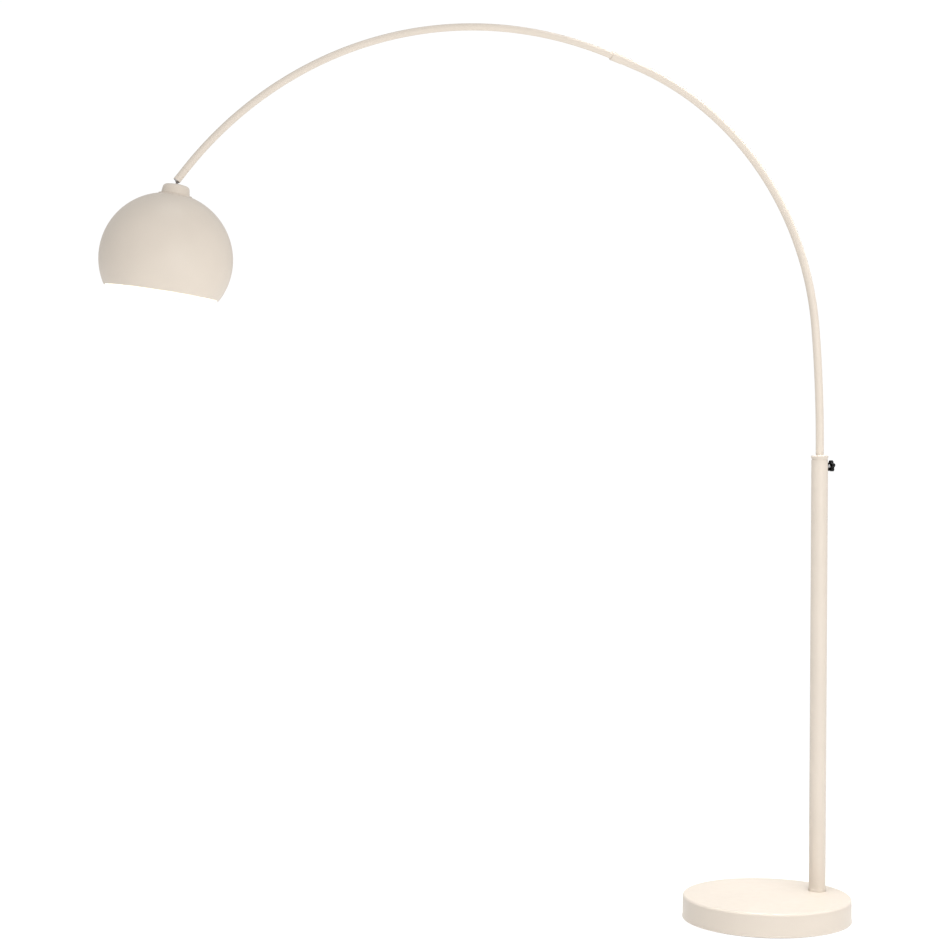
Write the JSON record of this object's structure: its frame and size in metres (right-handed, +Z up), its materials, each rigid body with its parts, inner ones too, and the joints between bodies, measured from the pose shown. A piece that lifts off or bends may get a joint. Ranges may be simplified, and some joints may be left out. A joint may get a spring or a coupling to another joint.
{
  "type": "arc floor lamp",
  "caption": "Floor lamp with a round weighted base, an off-centre pole, a clamped bent arc in two tubes and a spun dome shade on a ball joint.",
  "frame": {"origin": "centre of the base's underside, on the floor", "axes": "+Z up; the pole stands towards +X from the origin and the arc reaches over the base towards -X; the arc lies in the XZ plane"},
  "size_m": [1.5819, 0.352, 1.8184],
  "materials": {
    "cream_paint": "satin",
    "shade_paint": "satin",
    "zinc_steel": "satin",
    "chrome": "polished",
    "brass": "satin",
    "iron": "matte",
    "foam_pad": "matte",
    "black_rubber": "matte",
    "black_plastic": "satin",
    "nylon": "satin",
    "holder_plastic": "satin",
    "holder_ceramic": "satin",
    "lead_jacket": "matte",
    "bulb_metal": "satin",
    "opal_glass": "satin"
  },
  "bodies": {
    "stand": {"base_shell": "cream_paint", "base_plate": "zinc_steel", "base_weight": "iron", "base_screws": "zinc_steel", "floor_pad": "foam_pad", "cord_grommet": "black_rubber", "terminal_block": "nylon", "pole": "cream_paint", "pole_foot_ring": "cream_paint", "pole_plug": "zinc_steel", "tie_washer": "zinc_steel", "tie_bolt": "zinc_steel", "pole_collar": "cream_paint", "collar_bush": "nylon", "clamp_insert": "brass", "lead_in_pole": "lead_jacket"},
    "guide": {"guide_ring": "nylon"},
    "arc": {"arc_lower_tube": "cream_paint", "arc_coupling": "cream_paint", "coupling_grub_screw": "zinc_steel", "arc_upper_tube": "cream_paint", "guide_end_stop": "nylon", "guide_clip": "zinc_steel", "lead_in_arc": "lead_jacket", "tip_ferrule": "cream_paint", "ball_spring_washer": "zinc_steel", "ball_preload_screw": "zinc_steel"},
    "tip_swivel": {"ball_seat_ring": "chrome"},
    "ball": {"swivel_ball": "chrome"},
    "head": {"ball_stem": "chrome", "shade_cap": "cream_paint", "shade_seat_ring": "cream_paint", "shade_shell": "shade_paint", "shade_nipple": "zinc_steel", "nipple_washer": "zinc_steel", "nipple_nut": "zinc_steel", "lampholder_cap": "holder_plastic", "lampholder_skirt": "holder_plastic", "lampholder_insert": "holder_ceramic", "thread_shell": "brass", "centre_contact": "brass", "lead_in_holder": "lead_jacket", "bulb_cap": "bulb_metal", "bulb_glass": "opal_glass"},
    "pad": {"clamp_pad": "nylon"},
    "knob": {"clamp_stud": "zinc_steel", "clamp_knob": "black_plastic"}
  },
  "joints": [
    {"name": "arc_height", "type": "slide", "parent": "stand", "child": "guide", "axis": [0, 0, 1], "range_m": [-0.016, 0.16]},
    {"name": "arc_turn", "type": "hinge", "parent": "guide", "child": "arc", "pos_m": [0.1229, 0, 0.96], "axis": [0, 0, 1], "range_deg": [-175, 175]},
    {"name": "shade_swivel", "type": "hinge", "parent": "arc", "child": "tip_swivel", "pos_m": [-1.26274, 0, 1.4747], "axis": [-0.6078, 0, -0.7941], "range_deg": [-170, 170]},
    {"name": "shade_tilt", "type": "hinge", "parent": "tip_swivel", "child": "ball", "pos_m": [-1.26274, 0, 1.4747], "axis": [-0.0972, 0.9925, 0.0744], "range_deg": [-10.5, 71]},
    {"name": "shade_spin", "type": "hinge", "parent": "ball", "child": "head", "pos_m": [-1.26274, 0, 1.4747], "axis": [0.1262, -0.0618, 0.9901], "range_deg": [-170, 170]},
    {"name": "clamp_travel", "type": "slide", "parent": "stand", "child": "pad", "axis": [1, 0, 0], "range_m": [0, 0.00301]},
    {"name": "knob_turn", "type": "hinge", "parent": "pad", "child": "knob", "pos_m": [0.1539, 0, 0.9501], "axis": [1, 0, 0], "range_deg": [0, 1080]}
  ],
  "couplings": [
    {"joint": "clamp_travel", "follows": "knob_turn", "m_per_rad": 0.00015915}
  ]
}
